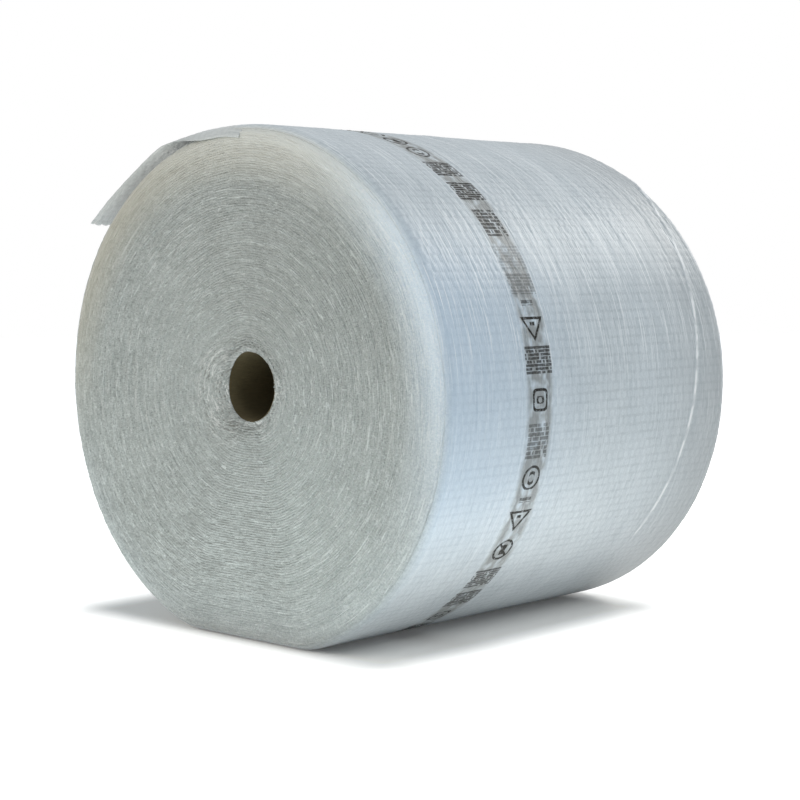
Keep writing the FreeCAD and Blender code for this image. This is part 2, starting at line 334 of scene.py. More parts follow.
def build_sides(material):
    """The outer turn and both rims, as four sectors."""
    profile = side_profile()[:, :, None]
    inward, y, out, aside, dip, width = (profile[:, k] for k in range(6))
    around = (np.arange(SIDE_COLUMNS + 1) * ROUND / SIDE_COLUMNS)[None]
    place, normal = outline(around)
    angle = angle_at(around)
    along = y + HALF_WIDTH

    relief = film_relief(around, along)
    rim_noise = noise(around / ROUND * 240, width / 2.0, 240, 6)
    relief = relief * (0.35 + 0.65 * out) - np.abs(aside) * (0.6 * rim_noise + 0.2)
    near_floor = smooth((place[..., 1] - 4) / 40)
    relief = np.where(relief > 0, relief * near_floor, relief * (0.25 + 0.75 * near_floor)) - dip
    shift = relief * out - inward - sunk(angle)
    points = np.stack([place[..., 0] + normal[..., 0] * shift,
                       y + relief * aside,
                       place[..., 1] + normal[..., 1] * shift], -1)
    points[..., 2] = np.maximum(points[..., 2], FLOOR_GAP)
    points[:, -1] = points[:, 0]

    across = np.gradient(points, axis=0)
    wrapped = np.concatenate([points[:, -2:-1], points, points[:, 1:2]], 1)
    forward = (wrapped[:, 2:] - wrapped[:, :-2]) / 2
    normals = np.cross(across, forward)
    normals /= np.linalg.norm(normals, axis=-1, keepdims=True)

    grains = grain(points[..., 0], points[..., 2], width)
    shares = np.broadcast_to(end_share(width), points.shape[:2])
    folds = np.broadcast_to(np.maximum(creases(around, along), 0), points.shape[:2])
    rows = len(profile)
    quarter = SIDE_COLUMNS // 4
    for sector in range(4):
        part = slice(sector * quarter, (sector + 1) * quarter + 1)
        piece = add_mesh(f"outer_turn_{sector + 1}", points[:, part].reshape(-1, 3),
                         grid_faces(rows, quarter + 1), material)
        mesh = piece.data
        add_vectors(mesh, "grain", grains[:, part])
        add_numbers(mesh, "end_share", shares[:, part])
        add_numbers(mesh, "crease", folds[:, part])
        film = np.stack(np.broadcast_arrays(around[:, part] / ROW_PITCH, along / BUBBLE_PITCH), -1)
        faces = grid_faces(rows, quarter + 1)
        add_uv(mesh, "film", film.reshape(-1, 2)[faces])
        flat_around = np.broadcast_to(around[:, part], (rows, quarter + 1)).ravel()[faces]
        flat_y = np.broadcast_to(y, (rows, quarter + 1)).ravel()[faces]
        ink, kind = ink_corners(flat_around, flat_y)
        add_uv(mesh, "ink", ink)
        add_uv(mesh, "ink_kind", kind)
        mesh.normals_split_custom_set_from_vertices(normals[:, part].reshape(-1, 3).tolist())
        place_film(piece)


# The turns on an end are ridges of SAMPLES lines each, at RIDGE_DEPTHS under the end's plane.
END_SPOKES = 280
RIDGE_DEPTHS = np.array([0.1, 0.9, 1.9])
SAMPLES = len(RIDGE_DEPTHS)
FACE_INNER = CORE_BORE + 0.4
BROAD_SHIFT, BROAD_FIRST, BROAD_TURNS = 6.0, 62.0, 11
BROAD_PITCH = (CORE_Z - RIM - 2 - BROAD_FIRST) / (BROAD_TURNS + 1)


def offset_radius(turn, inward):
    """Distance from the core's axis to the outline set inward by so much."""
    place, normal = outline(DENSE)
    place = place - normal * inward
    found = np.arctan2(place[:, 1] - CORE_Z, place[:, 0] - CORE_X)
    reach = np.hypot(place[:, 1] - CORE_Z, place[:, 0] - CORE_X)
    order = np.argsort(found)
    return np.interp((turn + math.pi) % (2 * math.pi) - math.pi, found[order], reach[order],
                     period=2 * math.pi)


def broad_turns(x, z):
    """The solid's eleven turns, from 0 on a crest to 1 in a valley."""
    right = x > CORE_X - BROAD_SHIFT
    middle = np.where(right, CORE_Z, CORE_Z - BROAD_PITCH / 2)
    reach = np.hypot(x - CORE_X + BROAD_SHIFT, z - middle) - np.where(right, 0, BROAD_PITCH / 2)
    step = np.clip((reach - BROAD_FIRST) / BROAD_PITCH, 0, BROAD_TURNS)
    return 0.5 - 0.5 * np.cos(2 * math.pi * step)


def build_end(name, side, seed, material):
    """The wound turns as they show on one end, as one spiral of ridges."""
    turn = np.arange(END_SPOKES + 1) * 2 * math.pi / END_SPOKES
    cells = turn[None] / (2 * math.pi)
    slack = 0.3 + sunk(np.degrees(turn)) * 0.8
    edge = offset_radius(turn, 0) - slack
    outer = offset_radius(turn, EDGE_INWARD) - slack
    inner = FACE_INNER - 4.2 * np.clip(np.cos(turn - math.radians(170)), 0, 1) ** 2
    inner = inner + 2.4 * np.clip(np.cos(turn - math.radians(-5)), 0, 1) ** 2
    turns = round((outer.mean() - FACE_INNER) / TURN)
    lines = np.arange(SAMPLES * (turns + 1) + 1)[:, None]
    wound = lines / SAMPLES + cells
    share = (wound - 1) / turns
    radius = inner + np.clip(share, 0, 1) * (outer - inner)
    used = (share > 0) & (share < 1)

    depth = RIDGE_DEPTHS[lines % SAMPLES]
    slip = noise(cells * 40, wound, 40, seed) * 0.6 + noise(cells * 9, wound / 7, 9, seed + 1) * 0.7
    rough = np.random.default_rng(seed + 2).uniform(-1, 1, wound.shape)
    rough[:, -1] = np.append(rough[SAMPLES:, 0], np.zeros(SAMPLES))
    loose = 1 + 1.2 * smooth((0.10 - share) / 0.08)
    flare = 6.0 + 12.0 * (0.5 + 0.5 * np.cos(turn - math.radians(35)))
    mouth_fall = 2.2 * (np.clip(inner + flare - radius, 0, flare) / flare) ** 2
    radius = radius + (0.3 * rough + 0.3 * noise(cells * 60, wound, 60, seed + 4)) * loose * used
    x, z = CORE_X + radius * np.cos(turn), CORE_Z + radius * np.sin(turn)
    quiet = 1 - 0.5 * smooth((radius - edge + 24) / 10)
    depth = 0.4 + (depth + slip + 0.8 * rough) * loose * quiet
    depth += 0.9 * broad_turns(x, z) + 0.5 * noise(cells * 5, share * 5, 5, seed + 3)
    depth = np.maximum(depth + mouth_fall, 0.1)
    depth = np.where(radius < SEAT_RADIUS + 1.5, np.minimum(depth, CORE_RECESS - 0.6), depth)
    depth += rim_depth(edge - radius)

    used[:, -1] = False
    index = np.full(share.shape, -1)
    column = np.broadcast_to(np.arange(END_SPOKES + 1) % END_SPOKES, share.shape)
    inner_edge = inner[:-1] + 0.5 * noise(cells[0, :-1] * 30, 0.5, 30, seed + 5)
    deep_ring = np.stack([inner_edge + 0.3, np.full(END_SPOKES, CORE_RECESS - 0.1), turn[:-1]], -1)
    inner_ring = np.stack([inner_edge, 2.4 + 0.5 * rough[0, :-1], turn[:-1]], -1)
    outer_ring = np.stack([outer[:-1], np.full(END_SPOKES, rim_depth(EDGE_INWARD) + 0.5), turn[:-1]], -1)
    angles = np.broadcast_to(turn[None], share.shape)
    points = np.concatenate([deep_ring, inner_ring, outer_ring,
                             np.stack([radius[used], depth[used], angles[used]], -1)])
    index[share <= 0] = END_SPOKES + column[share <= 0]
    index[share >= 1] = 2 * END_SPOKES + column[share >= 1]
    index[used] = 3 * END_SPOKES + np.arange(used.sum())
    index[:-SAMPLES, -1] = index[SAMPLES:, 0]

    faces = [[spoke, (spoke + 1) % END_SPOKES, END_SPOKES + (spoke + 1) % END_SPOKES, END_SPOKES + spoke]
             for spoke in range(END_SPOKES)]
    quads = np.stack([index[:-1, :-1], index[:-1, 1:], index[1:, 1:], index[1:, :-1]], -1).reshape(-1, 4)
    for quad in quads.tolist():
        face = [corner for k, corner in enumerate(quad) if corner != quad[k - 1]]
        if len(set(face)) >= 3:
            faces.append(face)
    if side < 0:
        faces = [face[::-1] for face in faces]

    radius, depth, angles = points.T
    x, z = CORE_X + radius * np.cos(angles), CORE_Z + radius * np.sin(angles)
    piece = add_mesh(name, np.stack([x, side * (HALF_WIDTH - depth), z], -1), faces, material)
    width = side * film_width(offset_radius(angles, 0) - radius)
    add_vectors(piece.data, "grain", grain(x, z, width))
    add_numbers(piece.data, "end_share", end_share(width))
    place_film(piece)


# The loose end, from where it lifts off the top to its cut edge, as x and z at its outer face.
LOOSE_END = [(-8.0, 565.9), (-30.1, 565.3), (-72.3, 561.3), (-115.9, 549.4), (-161.1, 529.5),
             (-198.6, 505.9), (-227.4, 483.6), (-254.9, 463.3)]
TAIL_ROWS = 190
TAIL_COLUMNS = 112
ROOT_LEAD, ROOT_STEPS = 24.0, 20
TAIL_DOME = 4.7
TAIL_SKIN, TAIL_BUBBLE = 0.5, 2.9


def build_loose_end(material):
    """The loose end of the film: a flat layer outside and a layer of bubbles inside."""
    knots = np.array(LOOSE_END)
    fit = np.polynomial.Polynomial.fit(knots[:, 0], knots[:, 1], 4)
    start = around_at(LEAVE_ANGLE)
    x = np.linspace(knots[0, 0], knots[-1, 0], 800)
    line = np.stack([x, fit(x)], -1)
    root, root_normal = outline(np.linspace(start - ROOT_LEAD, start, ROOT_STEPS))
    rise = 2.2 * smooth(np.linspace(0, 1, ROOT_STEPS))[:, None] - 1.9
    line = np.concatenate([root + root_normal * rise, line[12:]])
    way = np.concatenate([[0], np.cumsum(np.hypot(*np.diff(line, axis=0).T))])
    step = np.linspace(0, way[-1], TAIL_COLUMNS + 1)
    line = np.stack([np.interp(step, way, line[:, k]) for k in (0, 1)], -1)
    for _ in range(6):
        line[1:-1] = (line[:-2] + 2 * line[1:-1] + line[2:]) / 4
    slope = np.gradient(line, axis=0)
    slope /= np.linalg.norm(slope, axis=1, keepdims=True)
    normal = np.stack([slope[:, 1], -slope[:, 0]], -1)

    y = np.linspace(-HALF_WIDTH, HALF_WIDTH, TAIL_ROWS + 1)[:, None]
    around = (start - ROOT_LEAD + step)[None]
    along = y + HALF_WIDTH
    free = smooth((step[None] - 60) / 90)
    beyond = np.clip(np.abs(y) - (HALF_WIDTH - RIM), 0, RIM * 0.96)
    rim_drop = (RIM - np.sqrt(RIM ** 2 - beyond ** 2)) * (1 - free)
    turn = around / ROUND
    flutter = free * bumps(FLUTTER, turn, along)
    bubble_reach = bubble_distance(around, along)
    bubble = 1 - smooth((bubble_reach - BUBBLE_TOP) / 2.4)
    skin = 0.25 * bubble + 0.25 * noise(turn * 52, along / 4.6, 52, 2) + flutter - rim_drop
    dome = np.sqrt(np.clip(1 - (bubble_reach / TAIL_DOME) ** 2, 0, 1))
    swell = smooth((step[None] - 60) / 80) * smooth((HALF_WIDTH - np.abs(y)) / 7)
    depth = TAIL_SKIN + TAIL_BUBBLE * dome * swell

    def layer(height):
        parts = np.broadcast_arrays(line[None, :, 0] + normal[None, :, 0] * height, y,
                                    line[None, :, 1] + normal[None, :, 1] * height)
        return np.stack(parts, -1)

    outside, inside = layer(skin), layer(skin - depth)
    rows, columns = TAIL_ROWS + 1, TAIL_COLUMNS + 1
    count = rows * columns
    index = np.arange(count).reshape(rows, columns)
    border = np.concatenate([index[0, :-1], index[:-1, -1], index[-1, :0:-1], index[:0:-1, 0]])
    ahead = np.roll(border, -1)
    faces = np.concatenate([grid_faces(rows, columns), grid_faces(rows, columns, True) + count,
                            np.stack([border, ahead, ahead + count, border + count], -1)])
    points = np.concatenate([outside.reshape(-1, 3), inside.reshape(-1, 3)])
    piece = add_mesh("loose_end", points, faces, material)
    width = np.broadcast_to(y, (rows, columns)).ravel()
    width = np.concatenate([width, width])
    add_vectors(piece.data, "grain", grain(points[:, 0], points[:, 2], width))
    add_numbers(piece.data, "end_share", np.zeros(len(points)))
    loose = np.broadcast_to(smooth((step[None] - 70) / 90), (rows, columns)).ravel()
    add_numbers(piece.data, "loose_share", np.concatenate([loose, loose]))
    film = np.stack(np.broadcast_arrays(around / ROW_PITCH, along / BUBBLE_PITCH), -1).reshape(-1, 2)
    film = np.concatenate([film, film])
    add_uv(piece.data, "film", film[faces])
    flat_around = np.tile(np.broadcast_to(around, (rows, columns)).ravel(), 2)[faces]
    ink, kind = ink_corners(flat_around, width[faces])
    add_uv(piece.data, "ink", ink)
    add_uv(piece.data, "ink_kind", kind)
    place_film(piece)


CORE_SPOKES, CORE_STEPS = 120, 56
SEAM_LEAD, SEAM_WIDTH = 118.0, 2.2


def build_core(material):
    """The cardboard core: a spiral-wound tube with a step along each seam and worn ends."""
    turn = np.arange(CORE_SPOKES) * 2 * math.pi / CORE_SPOKES
    half = HALF_WIDTH - CORE_RECESS
    y = np.concatenate([np.linspace(-half, -half + 6, 6), np.linspace(-half + 14, half - 14, CORE_STEPS),
                        np.linspace(half - 6, half, 6)])
    cells = turn[None] / (2 * math.pi)
    seam = (y[:, None] / SEAM_LEAD + cells) % 1
    groove = 0.45 * np.exp(-(((seam - 0.5) * SEAM_LEAD / SEAM_WIDTH) ** 2)) - 0.15 * smooth(seam)
    fibre = 0.12 * noise(cells * 60, y[:, None] / 6, 60, 41)
    inner = CORE_BORE + groove + fibre
    outer = SEAT_RADIUS - 0.05 + 0 * inner
    worn = 0.7 * np.abs(noise(cells[0] * 23, 0.5 + 0 * cells[0], 23, 42))
    worn = worn + 0.5 * np.abs(noise(cells[0] * 60, 0.5 + 0 * cells[0], 60, 43))
    near = smooth((np.abs(y[:, None]) - half + 6) / 6) * np.sign(y[:, None]) * worn
    length = y[:, None] - near
    loops = np.concatenate([np.stack([inner, length], -1), np.stack([outer, length], -1)[::-1]])
    radius, along = loops[..., 0], loops[..., 1]
    points = np.stack([CORE_X + radius * np.cos(turn), along, CORE_Z + radius * np.sin(turn)], -1)
    rows = len(loops)
    index = np.arange(rows * CORE_SPOKES).reshape(rows, CORE_SPOKES)
    below, ahead = np.roll(index, -1, 0), np.roll(index, -1, 1)
    faces = np.stack([index, ahead, np.roll(below, -1, 1), below], -1).reshape(-1, 4)
    piece = add_mesh("core_lining", points.reshape(-1, 3), faces, material)
    sharp = [edge.index for edge in piece.data.edges
             if abs(abs(along.ravel()[edge.vertices[0]]) - half) < 2.5
             and abs(radius.ravel()[edge.vertices[0]] - radius.ravel()[edge.vertices[1]]) < 1]
    flags = np.zeros(len(piece.data.edges), bool)
    flags[sharp] = True
    piece.data.attributes.new("sharp_edge", "BOOLEAN", "EDGE").data.foreach_set("value", flags)
    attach(piece, "root")
    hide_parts("core_tube")


class Graph:
    """Short ways to build the nodes of a material or the world."""

    def __init__(self, owner):
        owner.use_nodes = True
        self.tree = owner.node_tree
        self.tree.nodes.clear()

    def node(self, kind, **settings):
        node = self.tree.nodes.new(kind)
        for name, value in settings.items():
            setattr(node, name, value)
        return node

    def feed(self, socket, value):
        if isinstance(value, bpy.types.NodeSocket):
            self.tree.links.new(value, socket)
        else:
            socket.default_value = value

    def fed(self, kind, inputs):
        """A node with its inputs set, by their names or numbers."""
        node = self.node(kind)
        for name, value in inputs.items():
            self.feed(node.inputs[name], value)
        return node

    def math(self, operation, *values, clamp=False):
        node = self.node("ShaderNodeMath", operation=operation, use_clamp=clamp)
        for socket, value in zip(node.inputs, values):
            self.feed(socket, value)
        return node.outputs[0]

    def times(self, *values):
        product = values[0]
        for value in values[1:]:
            product = self.math("MULTIPLY", product, value)
        return product

    def most(self, *values):
        highest = values[0]
        for value in values[1:]:
            highest = self.math("MAXIMUM", highest, value)
        return highest

    def less(self, value, amount):
        return self.math("SUBTRACT", value, amount)

    def size(self, value):
        return self.math("ABSOLUTE", value)

    def length(self, across, up):
        return self.math("SQRT", self.math("ADD", self.times(across, across), self.times(up, up)))

    def total(self, *terms, clamp=True):
        """Sum of values times their weights."""
        parts = [self.times(value, weight) for value, weight in terms]
        result = parts[0]
        for part in parts[1:-1]:
            result = self.math("ADD", result, part)
        return self.math("ADD", result, parts[-1], clamp=clamp)

    def dot(self, vector, direction):
        node = self.node("ShaderNodeVectorMath", operation="DOT_PRODUCT")
        self.feed(node.inputs[0], vector)
        self.feed(node.inputs[1], direction)
        return node.outputs["Value"]

    def noise(self, vector, stretch, detail=2.0, roughness=0.5, distortion=0.0):
        stretched = self.node("ShaderNodeVectorMath", operation="MULTIPLY")
        self.feed(stretched.inputs[0], vector)
        self.feed(stretched.inputs[1], stretch)
        return self.fed("ShaderNodeTexNoise", {
            "Vector": stretched.outputs[0], "Scale": 1.0, "Detail": detail, "Roughness": roughness,
            "Distortion": distortion}).outputs[0]

    def ramp(self, value, low, high, to_low=0.0, to_high=1.0):
        node = self.node("ShaderNodeMapRange", interpolation_type="SMOOTHSTEP")
        for socket, item in zip(node.inputs, (value, low, high, to_low, to_high)):
            self.feed(socket, item)
        return node.outputs[0]

    def mix(self, factor, first, second):
        node = self.node("ShaderNodeMix", data_type="RGBA")
        self.feed(node.inputs[0], factor)
        self.feed(node.inputs[6], first)
        self.feed(node.inputs[7], second)
        return node.outputs[2]

    def blend(self, factor, first, second):
        node = self.node("ShaderNodeMix", data_type="FLOAT")
        self.feed(node.inputs[0], factor)
        self.feed(node.inputs[2], first)
        self.feed(node.inputs[3], second)
        return node.outputs[0]

    def mix_shader(self, factor, first, second):
        return self.fed("ShaderNodeMixShader", {0: factor, 1: first, 2: second}).outputs[0]

    def split(self, vector):
        return self.fed("ShaderNodeSeparateXYZ", {0: vector}).outputs

    def combine(self, x, y, z):
        return self.fed("ShaderNodeCombineXYZ", {0: x, 1: y, 2: z}).outputs[0]

    def attribute(self, name):
        return self.node("ShaderNodeAttribute", attribute_name=name).outputs

    def uv(self, name):
        return self.split(self.node("ShaderNodeUVMap", uv_map=name).outputs[0])[:2]

    def bump(self, height, strength, distance):
        return self.fed("ShaderNodeBump", {"Height": height, "Strength": strength,
                                           "Distance": distance}).outputs[0]

    def finish(self, kind, surface):
        self.fed(kind, {0: surface})


# Half the width of a printed line, the blur of its edge, and the blur of a mark's outline.
STROKE, STROKE_BLUR, CUT_BLUR = 1.5, 0.35, 0.4


class Ink:
    """The shapes of the printed marks, around the middle of each mark, in millimetres."""

    def __init__(self, graph):
        self.graph = graph
        self.across, self.up = [graph.times(value, 100.0) for value in graph.uv("ink")]
        kind, self.strength = graph.uv("ink_kind")
        self.kind = graph.times(kind, 10.0)

    def stroke(self, distance, half=STROKE):
        return self.graph.ramp(self.graph.size(distance), half + STROKE_BLUR, half - STROKE_BLUR)

    def within(self, value, half):
        return self.graph.ramp(self.graph.size(value), half + CUT_BLUR, half - CUT_BLUR)

    def circle(self, radius):
        return self.graph.less(self.graph.length(self.across, self.up), radius)

    def slanted(self, angle, offset):
        turn = math.radians(angle)
        slope = self.graph.total((self.across, math.cos(turn)), (self.up, math.sin(turn)), clamp=False)
        return self.graph.less(slope, offset)

    def dashes(self, pitch, dash, seed):
        """Rows of dashes with gaps at random."""
        graph = self.graph
        row = graph.math("DIVIDE", self.up, pitch)
        line = graph.ramp(graph.math("PINGPONG", row, 0.5), 0.05, 0.15)
        cell = graph.combine(graph.math("FLOOR", graph.math("DIVIDE", self.across, dash)),
                             graph.math("FLOOR", row), seed)
        chance = graph.node("ShaderNodeTexWhiteNoise", noise_dimensions="3D")
        graph.feed(chance.inputs[0], cell)
        return graph.times(line, graph.ramp(chance.outputs[0], 0.12, 0.2))

    def raised(self, distance):
        return self.graph.less(self.up, distance)

    def shapes(self):
        graph, across, up = self.graph, self.across, self.up
        ring = graph.most(self.stroke(self.circle(12.6)),
                          graph.times(self.stroke(self.circle(6.0), 1.7), self.within(across, 4.6)))
        bar = graph.times(self.stroke(self.slanted(45, 0.0), 1.4), self.within(self.circle(0.0), 12.0))
        barred = graph.most(self.stroke(self.circle(12.8)), bar,
                            graph.times(self.within(across, 4.5), self.within(up, 7.0)))
        corner = graph.most(self.slanted(90, 8.0), self.slanted(-35, 8.0), self.slanted(215, 8.0))
        triangle = graph.most(self.stroke(corner),
                              graph.times(self.within(across, 3.6), self.within(self.raised(2.0), 2.0)))
        powers = [graph.math("POWER", graph.size(value), 5.0) for value in (across, up)]
        reach = graph.math("POWER", graph.math("ADD", *powers), 0.2)
        square = graph.most(self.stroke(graph.less(reach, 10.6)),
                            graph.times(self.stroke(self.circle(4.6)), self.within(up, 4.0)))
        block = graph.times(self.dashes(3.7, 2.6, 3.0), self.within(across, 20.5), self.within(up, 15.0))
        tall = graph.times(self.dashes(4.9, 2.3, 7.0), self.within(across, 17.0), self.within(up, 18.5))
        line = graph.times(self.dashes(6.0, 2.9, 11.0), self.within(across, 9.5),
                           self.within(self.raised(1.5), 3.0))
        return {RING: ring, TRIANGLE: triangle, SQUARE: square, BLOCK: block, LINE: line,
                BARRED: barred, TALL: tall}

    def mask(self, grains):
        """How much ink there is, from 0 to 1."""
        graph = self.graph
        chosen = [graph.times(graph.math("COMPARE", self.kind, float(kind), 0.4), shape)
                  for kind, shape in self.shapes().items()]
        worn = graph.ramp(graph.noise(grains, (300, 300, 300)), 0.28, 0.5, 0.55, 1.0)
        return graph.times(graph.total(*[(shape, 1.0) for shape in chosen], clamp=False),
                           self.strength, worn)

    def ghost(self, grains):
        """The dark blur of the marks on the turns beneath."""
        graph = self.graph
        patches = graph.ramp(graph.noise(grains, (50, 50, 90)), 0.30, 0.58)
        return graph.times(graph.ramp(graph.size(self.across), 24.0, 14.0),
                           graph.ramp(self.kind, 0.2, 0.6), patches)


# Colours of the film, as the deep and the pale end of a tone or as one tint. Some of them are painted light
# or shade, as said where they are used.
SIDE_TONES = (0.36, 0.405, 0.435, 1), (0.72, 0.765, 0.79, 1)
PAINTED_BLUE_REFLECTION = (0.50, 0.65, 0.82, 1)
FAR_SIDE_PAINTED_SHADE = (0.34, 0.35, 0.35, 1)
STREAK_AND_HIGHLIGHT_WHITE = (0.95, 0.96, 0.96, 1)
CREASE_WHITE = (0.97, 0.97, 0.97, 1)
END_TONES = (0.275, 0.29, 0.275, 1), (0.61, 0.635, 0.61, 1)
WISP_PALE = (0.80, 0.79, 0.76, 1)
DARK_WISP_AND_SHADE = (0.17, 0.165, 0.14, 1)
PAINTED_RIM_GLOW_TONES = (0.74, 0.84, 0.93, 1), (0.93, 0.97, 1.0, 1)
PAINTED_WARM_RIM_LIGHT = (0.47, 0.435, 0.34, 1)
PAINTED_RIM_GLOW_CREAM = (0.76, 0.755, 0.70, 1)
LOOSE_TINT = (0.72, 0.70, 0.64, 1)
GHOST_INK = (0.11, 0.105, 0.085, 1)
INK_BLACK = (0.012, 0.010, 0.007, 1)


class Film:
    """The parts of the film's material."""

    def __init__(self, graph):
        self.graph = graph
        self.grains = graph.attribute("grain")["Vector"]
        self.end_share = graph.attribute("end_share")["Fac"]
        _, self.height, self.width = graph.split(self.grains)
        self.cloud = self.noise((14, 14, 14), 3.0)
        self.streak = self.noise((9, 9, 260), 3.0, 0.6)
        self.fine = self.noise((26, 26, 820))
        self.threads = self.noise((20, 20, 560), 2.0, 0.6, 0.8)
        self.speckle = graph.less(self.noise((420, 420, 420), 2.0, 0.8), 0.5)

    def noise(self, stretch, *settings):
        return self.graph.noise(self.grains, stretch, *settings)

    def toward(self, turn):
        """About 1 on the outline in one direction, given in radians, and -1 opposite."""
        return self.graph.dot(self.grains, (3.4 * math.cos(turn), 3.4 * math.sin(turn), 0))

    def bubbles(self):
        """The bubbles, their edges and the gaps between their rows."""
        graph = self.graph
        row, column = graph.uv("film")
        odd = graph.times(graph.math("MODULO", graph.math("FLOOR", row), 2.0), 0.5)
        column = graph.math("ADD", column, odd)
        off_row, off_column = [graph.less(graph.math("FRACT", value), 0.5) for value in (row, column)]
        radius = graph.length(off_row, off_column)
        edge = graph.ramp(graph.size(graph.less(radius, 0.42)), 0.09, 0.02)
        broken = graph.ramp(self.noise((75, 75, 45)), 0.38, 0.58)
        gap = graph.times(graph.ramp(graph.size(off_row), 0.28, 0.46), broken)
        return graph.ramp(radius, 0.45, 0.30), edge, gap

    def side_colour(self):
        graph = self.graph
        bubble, edge, gap = self.bubbles()
        dark_lines = graph.ramp(self.noise((11, 11, 330), 3.0, 0.6), 0.48, 0.30)
        tone = graph.total((self.cloud, 0.4), (self.streak, 0.45), (bubble, 0.08), (edge, -0.04),
                           (self.speckle, 0.6), (gap, -0.12), (dark_lines, -0.16))
        colour = graph.mix(tone, *SIDE_TONES)
        # Painted reflection: a bluish tint on the near half of the side, at middle heights, stands for
        # bluish light reflected there.
        painted_blue = graph.times(graph.ramp(self.width, 0.04, -0.25, 0.0, 0.45),
                           graph.ramp(graph.size(self.height), 0.22, 0.08))
        colour = graph.mix(painted_blue, colour, PAINTED_BLUE_REFLECTION)
        # Painted shade: the side turns darker and greyer toward the far end.
        colour = graph.mix(graph.ramp(self.width, 0.07, 0.27, 0.0, 0.6), colour, FAR_SIDE_PAINTED_SHADE)
        # White threads along the film are partly the film's own and partly a painted highlight on its
        # ripples. They grow stronger toward the top of the side.
        streaks_and_highlights = graph.times(graph.ramp(self.noise((10, 10, 700), 2.0, 0.6, 0.3), 0.55, 0.66),
                              graph.ramp(self.height, -0.06, 0.12, 0.22, 1.0), 0.62)
        colour = graph.mix(streaks_and_highlights, colour, STREAK_AND_HIGHLIGHT_WHITE)
        crease = graph.times(graph.ramp(graph.attribute("crease")["Fac"], 0.35, 1.0, 0.0, 0.75),
                             graph.ramp(self.noise((40, 40, 60)), 0.36, 0.56, 0.25, 1.0))
        return graph.mix(crease, colour, CREASE_WHITE)

    def end_colour(self):
        graph = self.graph
        upper_right, upper_left = self.toward(0.87), self.toward(2.1)
        thread_lines = graph.times(graph.ramp(self.threads, 0.60, 0.68),
                                   graph.ramp(upper_right, -0.8, 0.6, 0.4, 1.1))
        specks = graph.ramp(self.noise((95, 95, 300)), 0.62, 0.74)
        pits = graph.ramp(self.noise((60, 60, 380), 3.0), 0.45, 0.25)
        tone = graph.total((self.cloud, 0.35), (self.fine, 0.45), (thread_lines, 1.0), (specks, 0.5),
                           (pits, -0.15))
        tone = graph.total((tone, 1.0), (self.speckle, 2.0))
        colour = graph.mix(tone, *END_TONES)

        reach = graph.size(self.width)
        near_core = graph.ramp(reach, 0.455, 0.50)
        # Near the core, the pale wisps are loose threads of the inner turns. The dark wisps are the inner
        # turns' darker lines and partly painted shade round the bore's mouth.
        wisps = self.noise((9, 9, 620), 3.0, 0.65, 0.6)
        for tint, low, high in ((WISP_PALE, 0.52, 0.64), (DARK_WISP_AND_SHADE, 0.46, 0.34)):
            colour = graph.mix(graph.times(near_core, graph.ramp(wisps, low, high, 0.0, 0.75)), colour, tint)

        # Painted light on the rim of the end: a warm tan on the upper left, then a pale glow, cream on the
        # upper left and bluish toward the upper right, for light shining through the film at the rim.
        rim = graph.ramp(reach, 0.315, 0.246)
        colour = graph.mix(graph.times(graph.ramp(upper_left, 0.2, 0.9, 0.0, 0.8), rim), colour, PAINTED_WARM_RIM_LIGHT)
        pale = graph.mix(graph.ramp(upper_left, -0.1, 0.8), graph.mix(tone, *PAINTED_RIM_GLOW_TONES), PAINTED_RIM_GLOW_CREAM)
        return graph.mix(graph.times(rim, graph.ramp(upper_right, 0.0, 1.0, 0.10, 1.0)), colour, pale)

    def relief(self):
        graph = self.graph
        side = graph.total((self.streak, 1.0), (self.fine, 0.4), clamp=False)
        end = graph.total((self.threads, 1.2), (self.fine, 0.6), clamp=False)
        height = graph.blend(self.end_share, side, end)
        return graph.total((height, 1.0), (self.noise((420, 420, 420)), 0.25), clamp=False)


GLOSS_LIMIT = 0.2
LIT_THROUGH, SEEN_THROUGH = 0.42, 0.26


def film_material(name, clear):
    """Bubble film: milky and streaked, duller on the ends of the roll, with printed marks.

    The clear kind also lets light and sight through where it hangs free of the roll.
    """
    material = bpy.data.materials.new(name)
    graph = Graph(material)
    film = Film(graph)
    colour = graph.mix(film.end_share, film.side_colour(), film.end_colour())
    if clear:
        colour = graph.mix(0.5, colour, LOOSE_TINT)
    ink = Ink(graph)
    inked = ink.mask(film.grains)
    colour = graph.mix(graph.times(ink.ghost(film.grains), 0.68), colour, GHOST_INK)
    colour = graph.mix(graph.times(inked, 0.98), colour, INK_BLACK)

    normal = graph.bump(film.relief(), 0.7, 0.0012)
    rough = graph.total((graph.blend(film.end_share, 0.40, 0.52), 1.0),
                        (graph.less(film.cloud, 0.5), 0.15), clamp=False)
    body = graph.fed("ShaderNodeBsdfPrincipled", {
        "Base Color": colour, "Roughness": rough, "Normal": normal, "Specular IOR Level": 0.0,
        "Subsurface Weight": 0.2, "Subsurface Radius": (1.0, 1.0, 1.0), "Subsurface Scale": 0.006})
    gloss = graph.fed("ShaderNodeBsdfGlossy", {"Color": (1, 1, 1, 1), "Roughness": rough, "Normal": normal})
    fresnel = graph.fed("ShaderNodeFresnel", {"IOR": 1.45, "Normal": normal})
    shine = graph.times(graph.math("MINIMUM", fresnel.outputs[0], GLOSS_LIMIT), graph.blend(inked, 1.0, 0.3))
    surface = graph.mix_shader(shine, body.outputs[0], gloss.outputs[0])
    if clear:
        loose = graph.attribute("loose_share")["Fac"]
        lit = graph.fed("ShaderNodeBsdfTranslucent", {"Color": colour})
        seen = graph.node("ShaderNodeBsdfTransparent")
        surface = graph.mix_shader(graph.times(loose, LIT_THROUGH), surface, lit.outputs[0])
        surface = graph.mix_shader(graph.times(loose, SEEN_THROUGH), surface, seen.outputs[0])
    graph.finish("ShaderNodeOutputMaterial", surface)
    return material


